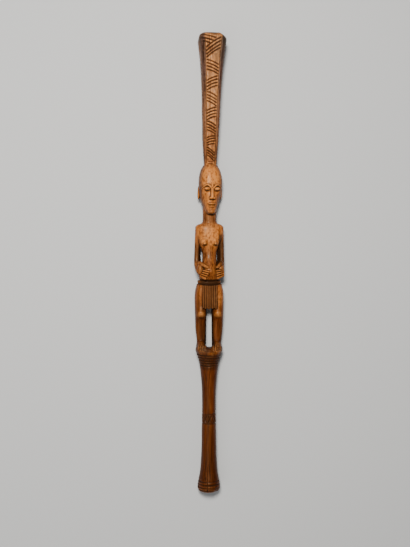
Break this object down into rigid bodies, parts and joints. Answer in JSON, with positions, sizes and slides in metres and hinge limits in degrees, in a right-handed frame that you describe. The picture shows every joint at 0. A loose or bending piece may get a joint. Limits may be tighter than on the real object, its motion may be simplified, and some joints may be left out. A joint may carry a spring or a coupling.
{
  "type": "carved figure staff",
  "caption": "Slender wooden staff carved with a standing figure in a fringed apron, under a tall flared coiffure with zigzag grooves, on a ringed round shaft.",
  "frame": {"origin": "on the plane the staff lies on, under the middle of its box", "axes": "+Y along the staff from its foot to the top of the coiffure, +Z from its back to its front, which is up as it lies, +X to the viewer's right when it is seen from the front with the coiffure up"},
  "size_m": [0.0426, 0.6, 0.0358],
  "materials": {
    "carved_wood": "orange-brown wood, waxed and worn to a satin polish, darker in the cuts and low down"
  },
  "bodies": {
    "root": {"staff": "carved_wood"}
  },
  "joints": []
}
